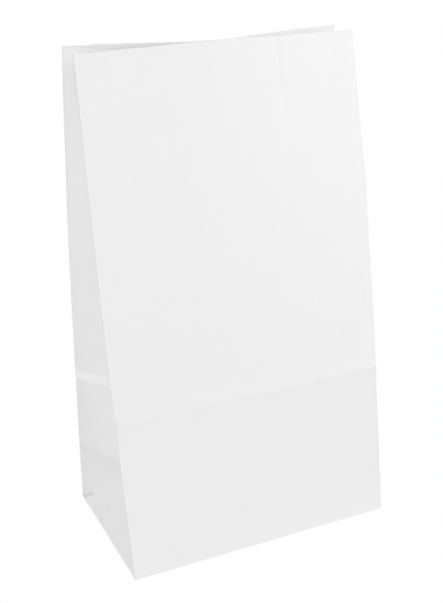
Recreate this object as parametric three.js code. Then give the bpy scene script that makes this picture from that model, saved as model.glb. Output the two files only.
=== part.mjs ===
// Paper grocery bag: a gusseted, flat-bottomed sack of plain white paper that stands open and slack.
// Units are millimetres and +Z is up. The origin is the middle of the base, at its underside.
// X runs across the two wide panels, and Y from the front panel (-Y) to the back panel (+Y).
//
// The bag is one folded sheet. Its tube is laid out as a grid of paper: rows at rising heights,
// measured along the paper, and columns all round. The places of the grid's points come from the
// folds: panels that lean to the mouth, and gussets that fold inward with every length kept.
import * as THREE from 'three';

// Driving dimensions
const WIDTH = 180; // wide panels, across the base
const DEPTH = 110; // gussets, laid flat
const HEIGHT = 320; // walls, measured up the paper
const FOLD_HEIGHT = 103; // crease all round, where the base folds up on the flat bag
const TIP_HEIGHT = 50; // where a gusset's slanting creases meet its middle fold
const WALL = 0.4; // walls
const BASE_WALL = 1.2; // lapped flaps of the base

// How far the upright edges lean in, at the crease and at the mouth
const FRONT_LEAN = { atFold: 12.5, atMouth: 51, hollow: 0.19 };
const BACK_LEAN = { atFold: 17, atMouth: 39.5, hollow: 0 };

// How far each panel bows inward between its upright edges, at the mouth
const FRONT_BOW = { depth: -4, centre: 5 };
const BACK_BOW = { depth: 12.5, centre: -7 };

// How far the upright edges swell outward, halfway up
const SIDE_SWELL = 1.5;

// The paper's grid
const PANEL_COLUMNS = 14;
const HALF_GUSSET_COLUMNS = 3;
const ROWS_TO_FOLD = 2; // from the gusset's cross crease to the crease all round
const ROWS_TO_MOUTH = 9;

const PAPER = { color: 0xf4f4f2, roughness: 0.85, metalness: 0 };

const HALF_WIDTH = WIDTH / 2;
const HALF_DEPTH = DEPTH / 2;
const GUSSET_COLUMNS = 2 * HALF_GUSSET_COLUMNS;
const SETTLING_PASSES = 12; // of a middle fold's point, which moves less at each pass
const CORNER_CLOSENESS = 1e-3; // steadies the wall's offset where facets are nearly level

// Heights of the rows along the paper. The first rows are as many as half a gusset's columns, so
// that the gusset's slanting creases run through the corners of the grid.
function rowHeights() {
  const rows = [];
  for (let row = 0; row <= HALF_GUSSET_COLUMNS; row += 1) {
    rows.push((TIP_HEIGHT * row) / HALF_GUSSET_COLUMNS);
  }
  for (let row = 1; row <= ROWS_TO_FOLD; row += 1) {
    rows.push(TIP_HEIGHT + ((FOLD_HEIGHT - TIP_HEIGHT) * row) / ROWS_TO_FOLD);
  }
  for (let row = 1; row <= ROWS_TO_MOUTH; row += 1) {
    rows.push(FOLD_HEIGHT + ((HEIGHT - FOLD_HEIGHT) * row) / ROWS_TO_MOUTH);
  }
  return rows;
}

// 0 up to the crease and 1 at the mouth
function mouthShare(height) {
  return Math.max(0, (height - FOLD_HEIGHT) / (HEIGHT - FOLD_HEIGHT));
}

function leanAt(lean, height) {
  if (height <= FOLD_HEIGHT) return (lean.atFold * height) / FOLD_HEIGHT;
  const share = mouthShare(height);
  const eased = share - lean.hollow * share * (1 - share);
  return lean.atFold + (lean.atMouth - lean.atFold) * eased;
}

// A swell that is 0 at both upright edges and full at its centre
function bowAt(bow, x, height) {
  const reach = x < bow.centre ? HALF_WIDTH + bow.centre : HALF_WIDTH - bow.centre;
  const swell = Math.cos((Math.PI / 2) * ((x - bow.centre) / reach)) ** 2;
  return bow.depth * swell * mouthShare(height);
}

// A place across a wide panel, once the slack paper has swelled sideways
function swollen(x, height) {
  return x * (1 + (SIDE_SWELL / HALF_WIDTH) * Math.sin((Math.PI * height) / HEIGHT));
}

// One column of a wide panel: it leans in as it rises, and keeps its length along the paper.
function panelColumn(x, side, lean, bow, heights) {
  const points = [];
  heights.forEach((height, row) => {
    const y = side * (HALF_DEPTH - leanAt(lean, height) - bowAt(bow, x, height));
    const point = new THREE.Vector3(swollen(x, height), y, 0);
    if (row > 0) {
      const below = points[row - 1];
      const rise = height - heights[row - 1];
      point.z = below.z
        + Math.sqrt(rise ** 2 - (point.x - below.x) ** 2 - (point.y - below.y) ** 2);
    }
    points.push(point);
  });
  return points;
}

function panel(side, lean, bow, heights) {
  const columns = [];
  for (let column = 0; column <= PANEL_COLUMNS; column += 1) {
    const x = -HALF_WIDTH + (WIDTH * column) / PANEL_COLUMNS;
    columns.push(panelColumn(x, side, lean, bow, heights));
  }
  return columns;
}

// How far a panel's bow carries the paper towards +Y, at a place and a height
function bowTowardsBack(x, height) {
  return bowAt(FRONT_BOW, x, height) - bowAt(BACK_BOW, x, height);
}

// The next point of a gusset's middle fold. It lies midway between the two wide panels, half a
// gusset away from the farther upright edge, and rise above the point below it, along the paper.
function settledPoint(front, back, below, rise, inward, height) {
  const point = front.clone().add(back).multiplyScalar(1 / 2);
  const middleY = point.y;
  for (let pass = 0; pass < SETTLING_PASSES; pass += 1) {
    point.y = middleY + bowTowardsBack(point.x, height) / 2;
    const reaches = [front, back].map((edge) => (
      Math.sqrt(HALF_DEPTH ** 2 - (point.y - edge.y) ** 2 - (point.z - edge.z) ** 2)
    ));
    point.x = front.x + inward * Math.min(...reaches);
    point.z = below.z
      + Math.sqrt(rise ** 2 - (point.x - below.x) ** 2 - (point.y - below.y) ** 2);
  }
  return point;
}

// The gusset's middle fold, from the top of its bottom triangle up to the mouth
function middleFold(front, back, inward, heights) {
  const fold = [];
  const middleOfFoot = front[0].clone().lerp(back[0], 1 / 2);
  for (let row = HALF_GUSSET_COLUMNS; row < heights.length; row += 1) {
    const start = row === HALF_GUSSET_COLUMNS;
    const below = start ? middleOfFoot : fold[row - 1];
    const rise = start ? TIP_HEIGHT : heights[row] - heights[row - 1];
    fold[row] = settledPoint(front[row], back[row], below, rise, inward, heights[row]);
  }
  return fold;
}

// One gusset between the upright edges front and back. Its two halves hang from those edges and
// meet in the middle fold. Under them a flat triangle rises from the foot to the end of that fold.
function gusset(front, back, inward, heights) {
  const fold = middleFold(front, back, inward, heights);
  const tip = fold[HALF_GUSSET_COLUMNS];
  const columns = [];
  for (let column = 0; column <= GUSSET_COLUMNS; column += 1) {
    const edge = column <= HALF_GUSSET_COLUMNS ? front : back;
    const fromEdge = Math.min(column, GUSSET_COLUMNS - column);
    const points = heights.map((_, row) => {
      if (row >= HALF_GUSSET_COLUMNS) {
        return edge[row].clone().lerp(fold[row], fromEdge / HALF_GUSSET_COLUMNS);
      }
      if (fromEdge <= row) return halfGussetPoint(edge, tip, fromEdge, row);
      return trianglePoint(front[0], back[0], tip, column, row);
    });
    columns.push(points);
  }
  return columns;
}

// A point of a half gusset beside the bottom triangle
function halfGussetPoint(edge, tip, fromEdge, row) {
  const level = edge[HALF_GUSSET_COLUMNS];
  const across = tip.clone().sub(level).multiplyScalar(fromEdge / HALF_GUSSET_COLUMNS);
  return edge[row].clone().add(across);
}

// A point of the bottom triangle
function trianglePoint(frontFoot, backFoot, tip, column, row) {
  const foot = frontFoot.clone().lerp(backFoot, column / GUSSET_COLUMNS);
  const middle = frontFoot.clone().lerp(backFoot, 1 / 2);
  const rise = tip.clone().sub(middle).multiplyScalar(row / HALF_GUSSET_COLUMNS);
  return foot.add(rise);
}

// All columns of the tube, anticlockwise seen from above, each upright edge once
function tubeColumns(heights) {
  const front = panel(-1, FRONT_LEAN, FRONT_BOW, heights);
  const back = panel(1, BACK_LEAN, BACK_BOW, heights);
  const right = gusset(front.at(-1), back.at(-1), -1, heights);
  const left = gusset(front[0], back[0], 1, heights);
  return [
    ...front.slice(0, -1),
    ...right.slice(0, -1),
    ...back.reverse().slice(0, -1),
    ...left.reverse().slice(0, -1),
  ];
}

// Facets of the outside. A cell of the grid is split along the diagonal that the gusset's
// slanting crease takes there, which leans the other way past the middle fold.
function outerFacets(columnCount, rowCount) {
  const facets = [];
  const place = (column, row) => (column % columnCount) * rowCount + row;
  const rightMiddle = PANEL_COLUMNS + HALF_GUSSET_COLUMNS;
  const leftMiddle = columnCount - HALF_GUSSET_COLUMNS;
  for (let column = 0; column < columnCount; column += 1) {
    const leansBack = (column >= rightMiddle && column < rightMiddle + HALF_GUSSET_COLUMNS)
      || column >= leftMiddle;
    for (let row = 0; row + 1 < rowCount; row += 1) {
      const [a, b] = [place(column, row), place(column + 1, row)];
      const [c, d] = [place(column + 1, row + 1), place(column, row + 1)];
      if (leansBack) facets.push([a, b, d], [b, c, d]);
      else facets.push([a, b, c], [a, c, d]);
    }
  }
  const middleOfBase = columnCount * rowCount;
  for (let column = 0; column < columnCount; column += 1) {
    facets.push([middleOfBase, place(column + 1, 0), place(column, 0)]);
  }
  return facets;
}

// Moves every point inward so that each facet round it moves by its own thickness
function insetPoints(points, facets) {
  const sums = points.map(() => ({ matrix: new Array(9).fill(0), push: new THREE.Vector3() }));
  facets.forEach((facet) => {
    const [a, b, c] = facet.map((index) => points[index]);
    const normal = new THREE.Vector3().crossVectors(b.clone().sub(a), c.clone().sub(a)).normalize();
    const thickness = facet.every((index) => points[index].z === 0) ? BASE_WALL : WALL;
    const parts = normal.toArray();
    facet.forEach((index) => {
      parts.forEach((p, i) => parts.forEach((q, j) => { sums[index].matrix[3 * i + j] += p * q; }));
      sums[index].push.addScaledVector(normal, -thickness);
    });
  });
  return points.map((point, index) => {
    const { matrix, push } = sums[index];
    const steady = matrix.map((value, i) => value + (i % 4 === 0 ? CORNER_CLOSENESS : 0));
    const inverse = new THREE.Matrix3().set(...steady).invert();
    return point.clone().add(push.applyMatrix3(inverse));
  });
}

// The strip of cut edge round the mouth, between the outside and the inside
function rimFacets(columnCount, rowCount, pointCount) {
  const facets = [];
  for (let column = 0; column < columnCount; column += 1) {
    const here = column * rowCount + rowCount - 1;
    const next = ((column + 1) % columnCount) * rowCount + rowCount - 1;
    facets.push([here, next, next + pointCount], [here, next + pointCount, here + pointCount]);
  }
  return facets;
}

function bagGeometry() {
  const heights = rowHeights();
  const columns = tubeColumns(heights);
  const outside = [...columns.flat(), new THREE.Vector3(0, 0, 0)];
  const facets = outerFacets(columns.length, heights.length);
  const inside = insetPoints(outside, facets);
  const insideFacets = facets.map(([a, b, c]) => [a, c, b].map((index) => index + outside.length));
  const rim = rimFacets(columns.length, heights.length, outside.length);
  const geometry = new THREE.BufferGeometry();
  const points = [...outside, ...inside].flatMap((point) => point.toArray());
  geometry.setAttribute('position', new THREE.Float32BufferAttribute(points, 3));
  geometry.setIndex([...facets, ...insideFacets, ...rim].flat());
  geometry.computeVertexNormals();
  return geometry;
}

function paperBag() {
  const bag = new THREE.Mesh(bagGeometry(), new THREE.MeshStandardMaterial(PAPER));
  bag.name = 'paper_bag';
  return bag;
}

const group = new THREE.Group();
group.add(paperBag());

export default group;
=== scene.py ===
"""Looks of the paper grocery bag.

The folded sheet of the CAD part is laid out again on a fine grid, with rounded creases, the paper's
own relief and close to its real thickness, and stands in for the CAD solid. Sizes here are in
millimetres unless a comment says otherwise, and each mesh is scaled to metres when it is made.

Places on the sheet: v is the height up the paper, x the place across a wide panel from its middle,
and c the place across a gusset, from -HALF_DEPTH at the front edge to HALF_DEPTH at the back edge.
"""

import math

import bpy
import numpy as np
from mathutils import Matrix, Vector


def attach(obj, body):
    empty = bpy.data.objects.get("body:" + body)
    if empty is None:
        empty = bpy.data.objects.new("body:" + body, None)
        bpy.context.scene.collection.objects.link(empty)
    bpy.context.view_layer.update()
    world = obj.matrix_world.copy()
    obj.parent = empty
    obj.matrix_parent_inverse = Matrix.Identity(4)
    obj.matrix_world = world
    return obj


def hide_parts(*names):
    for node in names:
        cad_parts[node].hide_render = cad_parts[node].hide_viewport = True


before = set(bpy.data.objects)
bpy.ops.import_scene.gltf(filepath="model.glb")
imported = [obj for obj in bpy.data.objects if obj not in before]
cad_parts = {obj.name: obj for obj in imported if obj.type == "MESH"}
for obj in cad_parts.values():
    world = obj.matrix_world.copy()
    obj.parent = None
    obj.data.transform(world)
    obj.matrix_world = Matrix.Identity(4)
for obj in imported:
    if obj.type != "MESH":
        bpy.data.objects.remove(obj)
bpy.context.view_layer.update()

MM = 0.001
TINY = 1e-12  # keeps a division by a length of 0 finite

# The sheet, as in the CAD part
WIDTH = 180.0
DEPTH = 110.0
HEIGHT = 320.0
FOLD_HEIGHT = 103.0
HALF_WIDTH = WIDTH / 2
HALF_DEPTH = DEPTH / 2
FRONT_LEAN = (12.5, 51.0, 0.19)  # at the crease, at the mouth, hollow between them
BACK_LEAN = (17.0, 39.5, 0.0)
FRONT_BOW = (-4.3, 5.4)  # depth at the mouth, centre
BACK_BOW = (12.7, -7.1)
TIP_HEIGHT = 50.0  # where a gusset's slanting creases meet its middle fold
SWELL = {"left": 2.3, "right": 1.0}  # of the upright edges, halfway up
RIGHT_BULGE = (0.8, 228.0, 26.0)  # size, height and reach
FRONT_SWAY = 1.6  # of the mouth towards +X
BACK_SWAY = 1.05
BACK_KNEE = (0.43, -0.97)  # push of a back edge, sideways and in depth, strongest at TIP_HEIGHT
KNEE_REACH = 40.0  # of that push across the back panel
SETTLING_PASSES = 12  # for a point of the middle fold, whose place and bow depend on each other

# The mouth's cut edge is trimmed lower here and there: size, centre and reach
FRONT_TRIM = ((0.7, -HALF_WIDTH, 38.0), (-0.3, 8.0, 22.0))
BACK_TRIM = ((0.4, 6.0, 16.0),)
LEFT_TRIM = ((0.7, -HALF_DEPTH, 12.0),)
TRIM_POWER = 3  # of the height, by which the rows below follow

# The paper, and the grid that it is laid out on
PAPER_THICKNESS = 0.16
CREASE_RADIUS = 0.5
FOOT_RADIUS = 0.15
FOOT_ZONE = 2.0  # height below which FOOT_RADIUS holds
SOFTENING = {0.0: 6, 0.5: 4, -0.5: 4, 1.0: 1, -1.0: 1}  # weight by shift, in radii
FINE_STEP = 0.4  # at a crease
STEP_GROWTH = 0.3  # for each millimetre away from it
COARSE_STEP = 2.8  # at most
GRADING_SAMPLES = 1001  # between two creases, at which the step is worked out
DENSE_START, DENSE_END = 1.0, 13.0  # from a gusset's edge, where its columns are twice as close
FOOT_ROWS = (-3.0, -2.2, -1.4, -0.9, -0.45, -0.2)  # of the paper folded under at the foot
FOOT_CURL = 0.5  # rise of that paper's edge off the ground
CURL_START, CURL_REACH = 0.9, 2.0  # of that rise, from the fold
LOWEST_ROW = 0.12  # just above the fold at the foot, which keeps that fold's shading narrow

# The base, glued up from the tube's folded ends. A flap runs in from each foot edge, and the two
# long ones narrow at 45 degrees.
FLAP_LAYER = 0.32  # thickness of a flap
FLAP_INSET = 0.35  # from the outside of the tube
FLAP_OVERLAP = 12.0
FLAP_TAPER = 1.0
FLAP_RISE = 7.0  # over which a flap climbs from the ground to its own layer
FLAP_LEVELS = {"front": 0.0, "back": 1.1, "left": 2.2, "right": 2.2}  # in flap layers
FLAP_STEP, FLAP_COLUMNS = 6.0, 31  # of a flap's grid
FLAP_COCKLE, FLAP_COCKLE_V, FLAP_COCKLE_STEP = 0.04, 90, 50  # size, and where its waves are read

# Relief, which stands out from the folded sheet by the sizes here
PANEL_EDGE, GUSSET_EDGE = 2.0, 1.6  # beside an upright edge, over which a crease fades in
CREST_HEIGHT = FOLD_HEIGHT - 0.2  # of the crease all round
FRONT_CREST = ((0.74, 5.6, 4.6), (0.81, 5.6, 30.0))  # its ridges: size, reach up and down
BACK_CREST = ((-1.0, 5.6, 5.6),)
GUSSET_CREST = ((0.75, 5.4, 4.6), (0.85, 5.4, 30.0))
FOOT_RIDGE = (0.3, 7.0, 0.5)
FRONT_END = (0.3, 2.6, 4.0, 3.6)  # short ridge: size, place above TIP_HEIGHT, reach up and down
BACK_END = (-0.2, 2.0, 3.6, 3.6)
END_REACH = 30.0  # of the short ridges, from an upright edge
FRONT_COCKLE, BACK_COCKLE, GUSSET_COCKLE = (0.1, 25.0), (0.12, 25.0), (0.12, 10.0)  # size, fade
FOOT_CALM = 14.0  # height over which the cockling fades in
COCKLE_SHIFTS = {"front": 0.0, "right": 200.0, "back": 400.0, "left": 900.0}  # makes them differ

# Lines that the gussets' folded layers pressed into the front near the mouth
EMBOSS_X = HALF_WIDTH - HALF_DEPTH  # where a gusset's middle fold lay in the flat bag
RIGHT_LINE, LEFT_LINE = 35.9, -37.5
RIGHT_STEP, RIGHT_STEP_SHIFT, RIGHT_STEP_WIDTH = 0.25, 1.8, 3.2
STEP_EDGE, STEP_FADE = 3.0, 40.0  # from an upright edge, over which the right step fades in
GROOVE_DEPTH, GROOVE_WIDTH = 0.4, 1.5
LEFT_STEP, LEFT_STEP_WIDTH = 0.15, 4.0
RIGHT_RISE, LEFT_RISE = (240.0, 70.0), (275.0, 35.0)  # start, and height over which they fade in

# The glued lap, on the back
LAP_EDGE = 22.0  # its cut edge
LAP_STEP = 0.18
LAP_EDGE_WIDTH = 0.5
LAP_WIDTH, LAP_FADE = 19.0, 2.0

# A gusset's own relief. Places along a slanting crease are counted from its low end.
FOLD_TURN = 2.0  # width over which the crease turns from one side of the paper to the other
FILLET_SLOPE, FILLET_REACH = 0.44, 4.5  # half the bend at a slanting crease, and its reach
FILLET_RISE, FILLET_FALL = (11.0, 6.0), (72.0, 10.0)  # place and reach of its two ends
# The pocket is a narrow dent along the back slanting crease's low end
POCKET_DEPTH = ((0.0, 2.5, 8.0), (-1.5, -1.95, -2.1))  # by place along that crease
POCKET_SHIFT = ((0.0, 10.0), (0.1, 0.8))  # below the crease, in the same way
POCKET_WIDTH = 0.8
POCKET_RISE, POCKET_FALL = (-2.0, 2.0), (15.5, 4.0)
TIP_RIDGE = (0.8, 10.0, 14.0)  # across the gusset at TIP_HEIGHT: size, reach up and down
TIP_FADE = 8.0  # from a slanting crease, over which that ridge fades in
STREAKS = (  # on the bottom triangle, as (c, v): start, end, size and width
    ((17.6, 28.0), (13.2, 4.0), 0.9, 1.3),
    ((27.8, 17.0), (24.5, 1.0), 0.7, 1.3),
    ((38.5, 13.0), (33.5, 1.0), -0.7, 2.0),
    ((-14.0, 30.0), (-20.0, 6.0), 0.5, 1.5),
    ((-28.0, 20.0), (-36.0, 4.0), 0.5, 1.5),
)
STREAK_FADE = 1 / 3  # of its length, at both ends

# Glow for the light that comes through the paper, as a share of white: of the inner face by place
# across the bag, strongest where no gusset lies behind the back panel, and of a gusset by height,
# deep in its fold
INSIDE_GLOW = ((-20.0, 25.0, 60.0), (0.02, 0.055, 0.03))
GUSSET_GLOW = ((40.0, 90.0, 170.0, 265.0, 308.0), (0.0, 0.025, 0.013, 0.035, 0.0))
GLOW_START = 1.0  # from a gusset's edge
GLOW_REACH, GLOW_SPREAD = 6.0, 0.08  # to the full glow, at the mouth and for each millimetre below
FULL_GLOW = 0.06
CREASE_HIGHLIGHT_HEIGHT, CREASE_HIGHLIGHT_REACH = 105.5, 3.6  # of the painted highlight along a gusset's crease, a lighter band where light falls on its upper side

# Materials
PAPER_ROUGHNESS, PAPER_SPECULAR = 0.72, 0.3
CLOUD_SCALE, CLOUD_DETAIL = 220.0, 4.0
PAPER_TONES = ((0.3, (0.916, 0.916, 0.914, 1)), (0.7, (0.924, 0.924, 0.922, 1)))  # by cloud level
# Painted highlight: the lighter tone of the band just above a gusset's crease
PAINTED_HIGHLIGHT_TONE = (0.958, 0.958, 0.956, 1)
FIBRE_SCALE, FIBRE_DETAIL = 900.0, 3.0
GRAIN_STRENGTH, GRAIN_DISTANCE = 0.12, 0.0003  # distance in metres
MIX_FACTOR, MIX_FIRST, MIX_SECOND, MIX_RESULT = 0, 6, 7, 2  # sockets of a Mix node for colours
FLOOR_REACH = 8000.0
FLOOR_TONE = (0.8, 0.8, 0.8, 1)

SOFTBOXES = (
    (-150, 40, 3.2, 2.2, 14.5),
    (-130, 25, 3.2, 2.2, 29.3),
    (-100, 55, 3.2, 2.2, 2.4),
    (-65, 20, 3.2, 2.2, 18.3),
    (-30, 8, 3.2, 2.2, 34.4),
    (-25, 25, 3.2, 2.2, 13.6),
    (20, 25, 3.2, 2.2, 21.6),
    (60, 25, 3.2, 2.2, 15.6),
    (110, 30, 3.2, 2.2, 10.0),
    (160, 20, 3.2, 2.2, 12.0),
    (70, 35, 0.75, 0.3, 1.42),
)

# The camera, fitted to the bag's corners, edges and creases
CAMERA_AZIMUTH, CAMERA_ELEVATION, CAMERA_ROLL = -23.92, 20.70, -1.81  # degrees
CAMERA_TARGET, CAMERA_DISTANCE = (-0.47, 1.40, 150.0), 651.8
CAMERA_LENS, CAMERA_SENSOR = 59.81, 36.0
CAMERA_CLIP = (0.01, 50.0)  # metres


def smooth_step(t):
    t = np.clip(t, 0.0, 1.0)
    return t * t * (3 - 2 * t)


def rising(t, start, reach):
    return smooth_step((t - start) / reach)


def falling(t, end, reach):
    return smooth_step((end - t) / reach)


def step_at(t, place, width):
    return smooth_step((t - place) / width + 0.5)


def bump(t):
    return np.exp(-(t**2))


def ridge(t, up, down):
    """A crest of height 1 at 0 that reaches up on one side and down on the other."""
    return 1 - smooth_step(np.where(t > 0, t / up, -t / down))


def streak(u, v, start, end, width):
    """A narrow ridge from start to end that fades at both."""
    along = np.array(end) - np.array(start)
    length = np.hypot(*along)
    t = ((u - start[0]) * along[0] + (v - start[1]) * along[1]) / length
    off = ((u - start[0]) * along[1] - (v - start[1]) * along[0]) / length
    fade = STREAK_FADE * length
    return bump(off / width) * rising(t, 0.0, fade) * falling(t, length, fade)


def noise_field(seed, waves, shortest, longest):
    """A smooth random field over the sheet, of mean 0 and about unit size."""
    rng = np.random.default_rng(seed)
    length = np.exp(rng.uniform(math.log(shortest), math.log(longest), waves))
    angle = rng.uniform(0, math.pi, waves)
    phase = rng.uniform(0, 2 * math.pi, waves)
    gain = length / length.max()
    gain /= math.sqrt((gain**2).sum() / 2)

    def field(u, v):
        total = np.zeros(np.broadcast(u, v).shape)
        for a, span, start, size in zip(angle, length, phase, gain):
            way = u * math.cos(a) + v * math.sin(a)
            total += size * np.sin(2 * math.pi * way / span + start)
        return total

    return field


COCKLE = noise_field(seed=3, waves=40, shortest=14.0, longest=75.0)


def graded(creases, coarse=COARSE_STEP):
    """Places along the sheet, close together at each crease."""
    places = [creases[0]]
    for start, end in zip(creases, creases[1:]):
        t = np.linspace(0.0, end - start, GRADING_SAMPLES)
        gap = np.minimum(coarse, FINE_STEP + STEP_GROWTH * np.minimum(t, t[-1] - t))
        count = np.concatenate([[0], np.cumsum(np.diff(t) * (1 / gap[1:] + 1 / gap[:-1]) / 2)])
        steps = max(1, round(count[-1]))
        places.extend(start + np.interp(np.linspace(0, count[-1], steps + 1)[1:], count, t))
    return np.array(places)


def mouth_share(v):
    return np.clip((v - FOLD_HEIGHT) / (HEIGHT - FOLD_HEIGHT), 0.0, 1.0)


def lean_at(lean, v):
    at_fold, at_mouth, hollow = lean
    share = mouth_share(v)
    upper = at_fold + (at_mouth - at_fold) * (share - hollow * share * (1 - share))
    return np.where(v <= FOLD_HEIGHT, at_fold * v / FOLD_HEIGHT, upper)


def bow_at(bow, x, v):
    depth, centre = bow
    reach = np.where(x < centre, HALF_WIDTH + centre, HALF_WIDTH - centre)
    return depth * np.cos(math.pi / 2 * (x - centre) / reach) ** 2 * mouth_share(v)


def place_across(x, v, sway):
    """Where paper at x of the flat panel lies once the slack bag has swelled and swayed."""
    size, height, reach = RIGHT_BULGE
    bulge = size * bump((v - height) / reach)
    swell = np.where(x < 0, SWELL["left"], SWELL["right"]) * np.sin(math.pi * v / HEIGHT)
    swell = (swell + np.where(x > 0, bulge, 0.0)) / HALF_WIDTH
    return x * (1 + swell) + sway * mouth_share(v)


def panel(columns, rows, side, lean, bow, sway, knee=(0.0, 0.0)):
    """Points of a wide panel, by column and row: it leans in and keeps its length up the paper."""
    x, v = np.meshgrid(columns, rows, indexing="ij")
    push = np.interp(v, (0.0, TIP_HEIGHT, FOLD_HEIGHT), (0.0, 1.0, 0.0))
    push *= bump((HALF_WIDTH - np.abs(x)) / KNEE_REACH)
    points = np.zeros(x.shape + (3,))
    points[..., 0] = place_across(x, v, sway) + knee[0] * np.sign(x) * push
    points[..., 1] = side * (HALF_DEPTH - lean_at(lean, v) - bow_at(bow, x, v)) + knee[1] * push
    step = np.diff(points[..., :2], axis=1)
    rise = np.sqrt(np.diff(v, axis=1) ** 2 - (step**2).sum(axis=2))
    points[:, 1:, 2] = np.cumsum(rise, axis=1)
    return points


def middle_fold(front, back, inward, rows, tip_row):
    """Points of a gusset's middle fold, from the top of its bottom triangle to the mouth."""
    fold = np.zeros_like(front)
    below, rise = (front[0] + back[0]) / 2, TIP_HEIGHT
    for row in range(tip_row, len(rows)):
        point = (front[row] + back[row]) / 2
        middle_y = point[1]
        for _ in range(SETTLING_PASSES):
            bowed = bow_at(FRONT_BOW, point[0], rows[row]) - bow_at(BACK_BOW, point[0], rows[row])
            point[1] = middle_y + bowed / 2
            reach = min(
                math.sqrt(HALF_DEPTH**2 - ((point[1:] - edge[row][1:]) ** 2).sum())
                for edge in (front, back)
            )
            point[0] = front[row][0] + inward * reach
            drift = ((point[:2] - below[:2]) ** 2).sum()
            point[2] = below[2] + math.sqrt(max(0.0, rise**2 - drift))
        fold[row] = below = point
        rise = rows[min(row + 1, len(rows) - 1)] - rows[row]
    return fold


def gusset(front, back, inward, rows, half):
    """Points of a gusset between two upright edges; half holds its columns from edge to fold."""
    tip_row = len(half) - 1
    fold = middle_fold(front, back, inward, rows, tip_row)
    tip, foot = fold[tip_row], (front[0] + back[0]) / 2
    across = (half / HALF_DEPTH)[:, None]
    halves = []
    for edge in (front, back):
        points = edge + (fold - edge) * across[..., None]
        for row in range(tip_row):
            beside = edge[row] + (tip - edge[tip_row]) * across
            under = edge[0] + (foot - edge[0]) * across + (tip - foot) * across[row]
            points[:, row] = np.where(across <= across[row], beside, under)
        halves.append(points)
    return np.concatenate([halves[0], halves[1][-2::-1]])


def around(front, right, back, left):
    """One array round the tube, from one for each panel in the order of its x or c."""
    return np.concatenate([front[:-1], right[:-1], back[::-1][:-1], left[::-1][:-1]])


def shifted(points, places, shift, period=None):
    """The points as read further along their first axis by shift, one number or one a place."""
    wanted = places + shift
    if period:
        places = np.concatenate([places - period, places, places + period])
        points = np.concatenate([points, points, points])
    wanted = np.clip(wanted, places[0], places[-1])
    above = np.clip(np.searchsorted(places, wanted), 1, len(places) - 1)
    share = (wanted - places[above - 1]) / (places[above] - places[above - 1])
    share = share.reshape((-1,) + (1,) * (points.ndim - 1))
    return points[above - 1] * (1 - share) + points[above] * share


def softened(points, places, radius, period=None):
    """Creases across the first axis, rounded to about this radius."""
    total = sum(w * shifted(points, places, k * radius, period) for k, w in SOFTENING.items())
    return total / sum(SOFTENING.values())


def trim_at(places, dips):
    return sum(size * bump((places - centre) / reach) for size, centre, reach in dips)


def foot_ring(ground, depth):
    """The tube's outline on the ground, folded under by depth."""
    ring = ground.copy()
    limits = (HALF_WIDTH - depth, HALF_DEPTH - depth)
    for axis, limit in enumerate(limits):
        ring[:, axis] = np.clip(ring[:, axis], -limit, limit)
    ring[:, 2] = FOOT_CURL * rising(depth, CURL_START, CURL_REACH)
    return ring


def crest(v, ridges):
    """The crease all round, as the sum of its ridges."""
    return sum(size * ridge(v - CREST_HEIGHT, up, down) for size, up, down in ridges)


def end_ridge(edge, v, size, lift, up, down):
    return size * ridge(v - TIP_HEIGHT - lift, up, down) * bump(edge / END_REACH)


def cockling(u, v, edge, size, fade, shift):
    """Slight waves of the paper, which fade out at an upright edge and at the foot."""
    calm = smooth_step(edge / fade) * smooth_step(v / FOOT_CALM)
    return size * calm * COCKLE(u + shift, v)


def pressed_lines(x, v):
    step = step_at(np.abs(x) - EMBOSS_X, RIGHT_STEP_SHIFT, RIGHT_STEP_WIDTH)
    step = step * rising(HALF_WIDTH - np.abs(x), STEP_EDGE, STEP_FADE)
    right = RIGHT_STEP * step - GROOVE_DEPTH * bump((x - RIGHT_LINE) / GROOVE_WIDTH)
    left = LEFT_STEP * step_at(x, LEFT_LINE, LEFT_STEP_WIDTH)
    return np.where(x > 0, right * rising(v, *RIGHT_RISE), left * rising(v, *LEFT_RISE))


def front_relief(x, v):
    edge = HALF_WIDTH - np.abs(x)
    size, up, down = FOOT_RIDGE
    crease = (crest(v, FRONT_CREST) + size * ridge(v, up, down)) * smooth_step(edge / PANEL_EDGE)
    detail = pressed_lines(x, v) + end_ridge(edge, v, *FRONT_END)
    return crease + detail + cockling(x, v, edge, *FRONT_COCKLE, COCKLE_SHIFTS["front"])


def back_relief(x, v):
    edge = HALF_WIDTH - np.abs(x)
    crease = crest(v, BACK_CREST) * smooth_step(edge / PANEL_EDGE)
    lap = LAP_STEP * step_at(x, LAP_EDGE, LAP_EDGE_WIDTH)
    lap = lap * falling(x, LAP_EDGE + LAP_WIDTH, LAP_FADE)
    detail = lap + end_ridge(edge, v, *BACK_END)
    return crease + detail + cockling(x, v, edge, *BACK_COCKLE, COCKLE_SHIFTS["back"])


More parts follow.
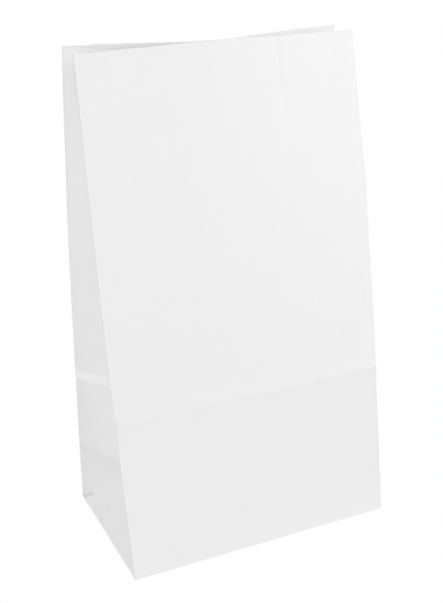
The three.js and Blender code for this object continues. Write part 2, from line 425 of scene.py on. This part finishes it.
def gusset_relief(c, v, shift):
    edge = HALF_DEPTH - np.abs(c)
    inner = smooth_step(edge / GUSSET_EDGE)
    sign = 2 * step_at(c, 0.0, FOLD_TURN) - 1
    slant = math.hypot(HALF_DEPTH, TIP_HEIGHT)
    off = (v * HALF_DEPTH - edge * TIP_HEIGHT) / slant
    along = (v * TIP_HEIGHT + edge * HALF_DEPTH) / slant
    fillet = FILLET_SLOPE * np.maximum(0.0, FILLET_REACH - np.abs(off)) ** 2 / (2 * FILLET_REACH)
    fillet = fillet * rising(along, *FILLET_RISE) * falling(along, *FILLET_FALL)
    pocket = bump((off + np.interp(along, *POCKET_SHIFT)) / POCKET_WIDTH)
    pocket = pocket * np.interp(along, *POCKET_DEPTH)
    pocket = pocket * rising(along, *POCKET_RISE) * falling(along, *POCKET_FALL)
    size, up, down = TIP_RIDGE
    tip = size * ridge(v - TIP_HEIGHT, up, down) * inner * smooth_step(off / TIP_FADE)
    streaks = sum(size * streak(c, v, start, end, width) for start, end, size, width in STREAKS)
    folds = sign * inner * crest(v, GUSSET_CREST) + fillet + np.where(c > 0, pocket, 0.0)
    return folds + tip + streaks + cockling(c, v, edge, *GUSSET_COCKLE, shift)


def gusset_glow(c, v):
    depth = (HALF_DEPTH - GLOW_START - np.abs(c)) / (GLOW_REACH + GLOW_SPREAD * (HEIGHT - v))
    return np.interp(v, *GUSSET_GLOW) * np.clip(depth, 0.0, 1.0)


# Painted highlight: a lighter band just above a gusset's crease, which fades out at its upright
# edges
def gusset_painted_highlight(c, v):
    painted_highlight = ridge(v - CREASE_HIGHLIGHT_HEIGHT, CREASE_HIGHLIGHT_REACH, CREASE_HIGHLIGHT_REACH)
    return painted_highlight * smooth_step((HALF_DEPTH - np.abs(c)) / GUSSET_EDGE)


def tube_faces(columns, rows, right_middle, left_middle, half_count):
    """Triangles of the outside, split along the gusset's slanting creases."""
    c, r = np.meshgrid(np.arange(columns), np.arange(rows - 1), indexing="ij")
    following = (c + 1) % columns
    a, b = c * rows + r, following * rows + r
    d, e = following * rows + r + 1, c * rows + r + 1
    leans_back = ((c >= right_middle) & (c < right_middle + half_count)) | (c >= left_middle)
    first = np.where(leans_back[..., None], np.stack([a, b, e], -1), np.stack([a, b, d], -1))
    second = np.where(leans_back[..., None], np.stack([b, d, e], -1), np.stack([a, d, e], -1))
    return np.concatenate([first.reshape(-1, 3), second.reshape(-1, 3)])


def rim_faces(columns, rows):
    """Triangles that join the outside to the inside, at the mouth and at the foot."""
    inside = columns * rows
    strips = []
    for row, flip in ((rows - 1, False), (0, True)):
        here = np.arange(columns) * rows + row
        there = np.roll(here, -1)
        strip = np.concatenate([
            np.stack([here, there, there + inside], 1),
            np.stack([here, there + inside, here + inside], 1),
        ])
        strips.append(strip[:, ::-1] if flip else strip)
    return np.concatenate(strips)


def point_normals(points, faces):
    a, b, c = (points[faces[:, k]] for k in range(3))
    face_normals = np.cross(b - a, c - a)
    normals = np.zeros_like(points)
    for k in range(3):
        np.add.at(normals, faces[:, k], face_normals)
    length = np.linalg.norm(normals, axis=1, keepdims=True)
    return normals / np.maximum(length, TINY)


def folded_tube(rows, across_front, across_back, half, c):
    """Points round the tube by column and row, and each point's relief, glow and painted highlight.
    """
    front = panel(across_front, rows, -1, FRONT_LEAN, FRONT_BOW, FRONT_SWAY)
    back = panel(across_back, rows, 1, BACK_LEAN, BACK_BOW, BACK_SWAY, BACK_KNEE)
    right = gusset(front[-1], back[-1], -1, rows, half)
    left = gusset(front[0], back[0], 1, rows, half)
    points = around(front, right, back, left)
    trim = around(
        trim_at(across_front, FRONT_TRIM),
        np.zeros_like(c),
        trim_at(across_back, BACK_TRIM),
        trim_at(c, LEFT_TRIM),
    )
    points[..., 2] -= trim[:, None] * mouth_share(rows) ** TRIM_POWER
    v, side = rows[None, :], c[:, None]
    relief = around(
        front_relief(across_front[:, None], v),
        gusset_relief(side, v, COCKLE_SHIFTS["right"]),
        back_relief(across_back[:, None], v),
        gusset_relief(side, v, COCKLE_SHIFTS["left"]),
    )
    plain_front, plain_back = np.zeros(front.shape[:2]), np.zeros(back.shape[:2])
    glow, painted_highlight = (
        around(plain_front, field, plain_back, field)
        for field in (gusset_glow(side, v), gusset_painted_highlight(side, v))
    )
    return points, np.stack([relief, glow, painted_highlight], axis=-1)


def with_foot(points, looks, rows):
    """The three arguments with rows added: folded under at the foot, and one just above that."""
    foot = np.stack([foot_ring(points[:, 0], -row) for row in FOOT_ROWS], axis=1)
    points = np.concatenate([foot, points], axis=1)
    looks = np.concatenate([np.zeros(foot.shape[:2] + looks.shape[2:]), looks], axis=1)
    place = len(FOOT_ROWS) + 1
    share = LOWEST_ROW / rows[1]
    points, looks = (
        np.insert(a, place, a[:, place - 1] * (1 - share) + a[:, place] * share, axis=1)
        for a in (points, looks)
    )
    return points, looks, np.insert(np.concatenate([FOOT_ROWS, rows]), place, LOWEST_ROW)


def shell_mesh():
    """Points and triangles of the sheet, outside and inside, and each point's glow and painted
    highlight.
    """
    half = graded([0.0, HALF_DEPTH])
    middles = (half[1:] + half[:-1]) / 2
    dense = middles[(middles > DENSE_START) & (middles < DENSE_END)]
    half = np.sort(np.concatenate([half, dense]))
    c = np.concatenate([half - HALF_DEPTH, (HALF_DEPTH - half)[-2::-1]])
    lower_rows = half * (TIP_HEIGHT / HALF_DEPTH)
    rows = np.concatenate([lower_rows, graded([TIP_HEIGHT, FOLD_HEIGHT, HEIGHT])[1:]])
    across_front = graded([-HALF_WIDTH, LEFT_LINE, RIGHT_LINE, HALF_WIDTH])
    across_back = graded([-HALF_WIDTH, LAP_EDGE, HALF_WIDTH])
    points, looks = folded_tube(rows, across_front, across_back, half, c)
    points, looks, rows = with_foot(points, looks, rows)
    relief, glow, painted_highlight = looks.reshape(-1, 3).T

    way_round = around(
        across_front + HALF_WIDTH,
        WIDTH + c + HALF_DEPTH,
        WIDTH + DEPTH + (HALF_WIDTH - across_back),
        2 * WIDTH + DEPTH + (HALF_DEPTH - c),
    )
    points = softened(points, way_round, CREASE_RADIUS, 2 * (WIDTH + DEPTH))
    row_radius = np.where(rows < FOOT_ZONE, FOOT_RADIUS, CREASE_RADIUS)
    points = softened(points.swapaxes(0, 1), rows, row_radius).swapaxes(0, 1)

    columns, count = points.shape[:2]
    half_count = len(half) - 1
    right_middle = len(across_front) - 1 + half_count
    faces = tube_faces(columns, count, right_middle, columns - half_count, half_count)
    outer = points.reshape(-1, 3)
    outer = outer + point_normals(outer, faces) * relief[:, None]
    outer[:, 2] = np.maximum(outer[:, 2], 0.0)
    inner = outer - point_normals(outer, faces) * PAPER_THICKNESS
    inner[:, 2] = np.maximum(inner[:, 2], 0.0)
    all_faces = np.concatenate([faces, faces[:, ::-1] + len(outer), rim_faces(columns, count)])
    glow = np.concatenate([glow, np.interp(inner[:, 0], *INSIDE_GLOW)])
    painted_highlight = np.concatenate([painted_highlight, np.zeros(len(inner))])
    return np.concatenate([outer, inner]), all_faces, glow, painted_highlight


def flap_grid(reach, half_length, taper, level):
    """Points and triangles of one base flap, foot edge along X at y = 0, free edge at y = reach."""
    t = graded([0.0, reach], FLAP_STEP)
    across = np.linspace(-1.0, 1.0, FLAP_COLUMNS)
    u, v = np.meshgrid(across, t, indexing="ij")
    x = u * (half_length - taper * v)
    waves = FLAP_COCKLE * COCKLE(x + FLAP_COCKLE_STEP * level, v + FLAP_COCKLE_V)
    z = level * FLAP_LAYER * smooth_step(v / FLAP_RISE) + waves
    points = np.stack([x, v, np.maximum(z, 0.0)], -1)
    columns, rows = u.shape
    c, r = np.meshgrid(np.arange(columns - 1), np.arange(rows - 1), indexing="ij")
    a, b = c * rows + r, (c + 1) * rows + r
    faces = np.stack([a, a + 1, b + 1, a, b + 1, b], -1).reshape(-1, 3)
    return points.reshape(-1, 3), faces


def closed_sheet(points, faces, thickness):
    """A thin closed solid: the points as its underside, and a copy of them above."""
    edges = np.concatenate([faces[:, [0, 1]], faces[:, [1, 2]], faces[:, [2, 0]]])
    directed = {tuple(e) for e in edges.tolist()}
    rim = np.array([e for e in edges.tolist() if (e[1], e[0]) not in directed])
    count = len(points)
    low, high = rim[:, 0], rim[:, 1]
    walls = np.concatenate([
        np.stack([low, low + count, high + count], 1),
        np.stack([low, high + count, high], 1),
    ])
    upper = points + np.array([0.0, 0.0, thickness])
    return np.concatenate([points, upper]), np.concatenate([faces, faces[:, ::-1] + count, walls])


def base_flaps():
    """Points and triangles of the four flaps that close the base."""
    meshes = []
    for name, level in FLAP_LEVELS.items():
        long_side = name in ("front", "back")
        half_length = (HALF_WIDTH if long_side else HALF_DEPTH) - FLAP_INSET
        reach = HALF_DEPTH + FLAP_OVERLAP - FLAP_INSET
        points, faces = flap_grid(reach, half_length, FLAP_TAPER if long_side else 0.0, level)
        x, y, z = points.T
        if long_side:
            side = -1 if name == "front" else 1
            placed = np.stack([-side * x, side * (HALF_DEPTH - FLAP_INSET - y), z], 1)
        else:
            side = -1 if name == "left" else 1
            placed = np.stack([side * (HALF_WIDTH - FLAP_INSET - y), side * x, z], 1)
        meshes.append(closed_sheet(placed, faces, FLAP_LAYER))
    return meshes


def joined(meshes):
    start = np.cumsum([0] + [len(points) for points, _ in meshes])
    faces = [faces + offset for (_, faces), offset in zip(meshes, start)]
    return np.concatenate([points for points, _ in meshes]), np.concatenate(faces)


def make_mesh(name, points, faces):
    mesh = bpy.data.meshes.new(name)
    mesh.vertices.add(len(points))
    mesh.vertices.foreach_set("co", (points * MM).astype(np.float32).ravel())
    mesh.loops.add(faces.size)
    mesh.loops.foreach_set("vertex_index", faces.astype(np.int32).ravel())
    mesh.polygons.add(len(faces))
    mesh.polygons.foreach_set("loop_start", np.arange(0, faces.size, 3, dtype=np.int32))
    mesh.polygons.foreach_set("use_smooth", np.ones(len(faces), dtype=bool))
    mesh.update(calc_edges=True)
    mesh.validate()
    piece = bpy.data.objects.new(name, mesh)
    bpy.context.scene.collection.objects.link(piece)
    return piece


def add_field(mesh, name, values):
    """Store one number a point; points past the values get 0."""
    field = mesh.attributes.new(name, "FLOAT", "POINT")
    whole = np.zeros(len(mesh.vertices), dtype=np.float32)
    whole[: len(values)] = values
    field.data.foreach_set("value", whole)


def read_field(nodes, name):
    """The socket of a new node that reads a field stored on the mesh."""
    field = nodes.new("ShaderNodeAttribute")
    field.attribute_name = name
    return field.outputs["Fac"]


def noise_node(nodes, links, place, scale, detail):
    noise = nodes.new("ShaderNodeTexNoise")
    noise.inputs["Scale"].default_value = scale
    noise.inputs["Detail"].default_value = detail
    links.new(place, noise.inputs["Vector"])
    return noise.outputs["Fac"]


def paper_material(name):
    """White paper: a faint cloud in its tone, a fibrous grain, the painted highlight along a
    gusset's crease and the glow.
    """
    material = bpy.data.materials.new(name)
    material.use_nodes = True
    nodes, links = material.node_tree.nodes, material.node_tree.links
    shader = nodes["Principled BSDF"]
    shader.inputs["Roughness"].default_value = PAPER_ROUGHNESS
    shader.inputs["Specular IOR Level"].default_value = PAPER_SPECULAR
    place = nodes.new("ShaderNodeTexCoord").outputs["Object"]

    tone = nodes.new("ShaderNodeValToRGB")
    for stop, (position, color) in zip(tone.color_ramp.elements, PAPER_TONES):
        stop.position, stop.color = position, color
    cloud = noise_node(nodes, links, place, CLOUD_SCALE, CLOUD_DETAIL)
    links.new(cloud, tone.inputs["Fac"])
    # Painted highlight: the band above a gusset's crease is mixed to a lighter tone
    highlight_mix = nodes.new("ShaderNodeMix")
    highlight_mix.data_type = "RGBA"
    highlight_mix.inputs[MIX_SECOND].default_value = PAINTED_HIGHLIGHT_TONE
    links.new(read_field(nodes, "painted_highlight"), highlight_mix.inputs[MIX_FACTOR])
    links.new(tone.outputs["Color"], highlight_mix.inputs[MIX_FIRST])
    links.new(highlight_mix.outputs[MIX_RESULT], shader.inputs["Base Color"])

    links.new(read_field(nodes, "glow"), shader.inputs["Emission Color"])
    shader.inputs["Emission Strength"].default_value = FULL_GLOW

    grain = nodes.new("ShaderNodeBump")
    grain.inputs["Strength"].default_value = GRAIN_STRENGTH
    grain.inputs["Distance"].default_value = GRAIN_DISTANCE
    fibre = noise_node(nodes, links, place, FIBRE_SCALE, FIBRE_DETAIL)
    links.new(fibre, grain.inputs["Height"])
    links.new(grain.outputs["Normal"], shader.inputs["Normal"])
    return material


def add_floor():
    """A wide matt floor that the camera sees as plain white."""
    corners = FLOOR_REACH * np.array([[-1, -1, 0], [1, -1, 0], [1, 1, 0], [-1, 1, 0]])
    floor = make_mesh("floor", corners, np.array([[0, 1, 2], [0, 2, 3]]))
    material = bpy.data.materials.new("pale_floor")
    material.use_nodes = True
    nodes, links = material.node_tree.nodes, material.node_tree.links
    nodes.clear()
    matt = nodes.new("ShaderNodeBsdfDiffuse")
    matt.inputs["Color"].default_value = FLOOR_TONE
    white = nodes.new("ShaderNodeEmission")
    ray = nodes.new("ShaderNodeLightPath")
    mix = nodes.new("ShaderNodeMixShader")
    out = nodes.new("ShaderNodeOutputMaterial")
    links.new(ray.outputs["Is Camera Ray"], mix.inputs[0])
    links.new(matt.outputs["BSDF"], mix.inputs[1])
    links.new(white.outputs["Emission"], mix.inputs[2])
    links.new(mix.outputs["Shader"], out.inputs["Surface"])
    floor.data.materials.append(material)


def direction(azimuth, elevation):
    a, e = math.radians(azimuth), math.radians(elevation)
    return Vector((math.sin(a) * math.cos(e), -math.cos(a) * math.cos(e), math.sin(e)))


def add_light():
    """A world that only the camera sees, as white, and softboxes all round."""
    world = bpy.data.worlds.new("studio")
    world.use_nodes = True
    nodes, links = world.node_tree.nodes, world.node_tree.links
    nodes["Background"].inputs["Color"].default_value = (1, 1, 1, 1)
    ray = nodes.new("ShaderNodeLightPath")
    links.new(ray.outputs["Is Camera Ray"], nodes["Background"].inputs["Strength"])
    bpy.context.scene.world = world
    for number, (azimuth, elevation, distance, size, power) in enumerate(SOFTBOXES):
        lamp = bpy.data.lights.new(f"softbox_{number}", "AREA")
        lamp.shape = "RECTANGLE"
        lamp.size = lamp.size_y = size
        lamp.energy = power
        softbox = bpy.data.objects.new(lamp.name, lamp)
        away = direction(azimuth, elevation)
        softbox.location = away * distance + Vector((0, 0, HEIGHT / 2 * MM))
        softbox.rotation_mode = "QUATERNION"
        softbox.rotation_quaternion = away.to_track_quat("Z", "Y")
        bpy.context.scene.collection.objects.link(softbox)


def add_camera():
    back = direction(CAMERA_AZIMUTH, CAMERA_ELEVATION)
    roll = math.radians(CAMERA_ROLL)
    right = (-back).cross(Vector((0, 0, 1))).normalized()
    up = back.cross(right)
    across = right * math.cos(roll) + up * math.sin(roll)
    upward = up * math.cos(roll) - right * math.sin(roll)
    place = (Vector(CAMERA_TARGET) + back * CAMERA_DISTANCE) * MM
    turned = Matrix((across, upward, back)).transposed().to_4x4()
    data = bpy.data.cameras.new("camera")
    data.lens = CAMERA_LENS
    data.sensor_width = CAMERA_SENSOR
    data.clip_start, data.clip_end = CAMERA_CLIP
    camera = bpy.data.objects.new("camera", data)
    camera.matrix_world = Matrix.Translation(place) @ turned
    bpy.context.scene.collection.objects.link(camera)
    bpy.context.scene.camera = camera


sheet_points, sheet_faces, glow, painted_highlight = shell_mesh()
shell = make_mesh("paper_shell", *joined([(sheet_points, sheet_faces), *base_flaps()]))
add_field(shell.data, "glow", glow / FULL_GLOW)
# The painted highlight along a gusset's crease, stored for the material
add_field(shell.data, "painted_highlight", painted_highlight)
shell.data.materials.append(paper_material("white_paper"))
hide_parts("paper_bag")
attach(shell, "root")
add_floor()
add_light()
add_camera()
bpy.context.scene.view_settings.view_transform = "Standard"
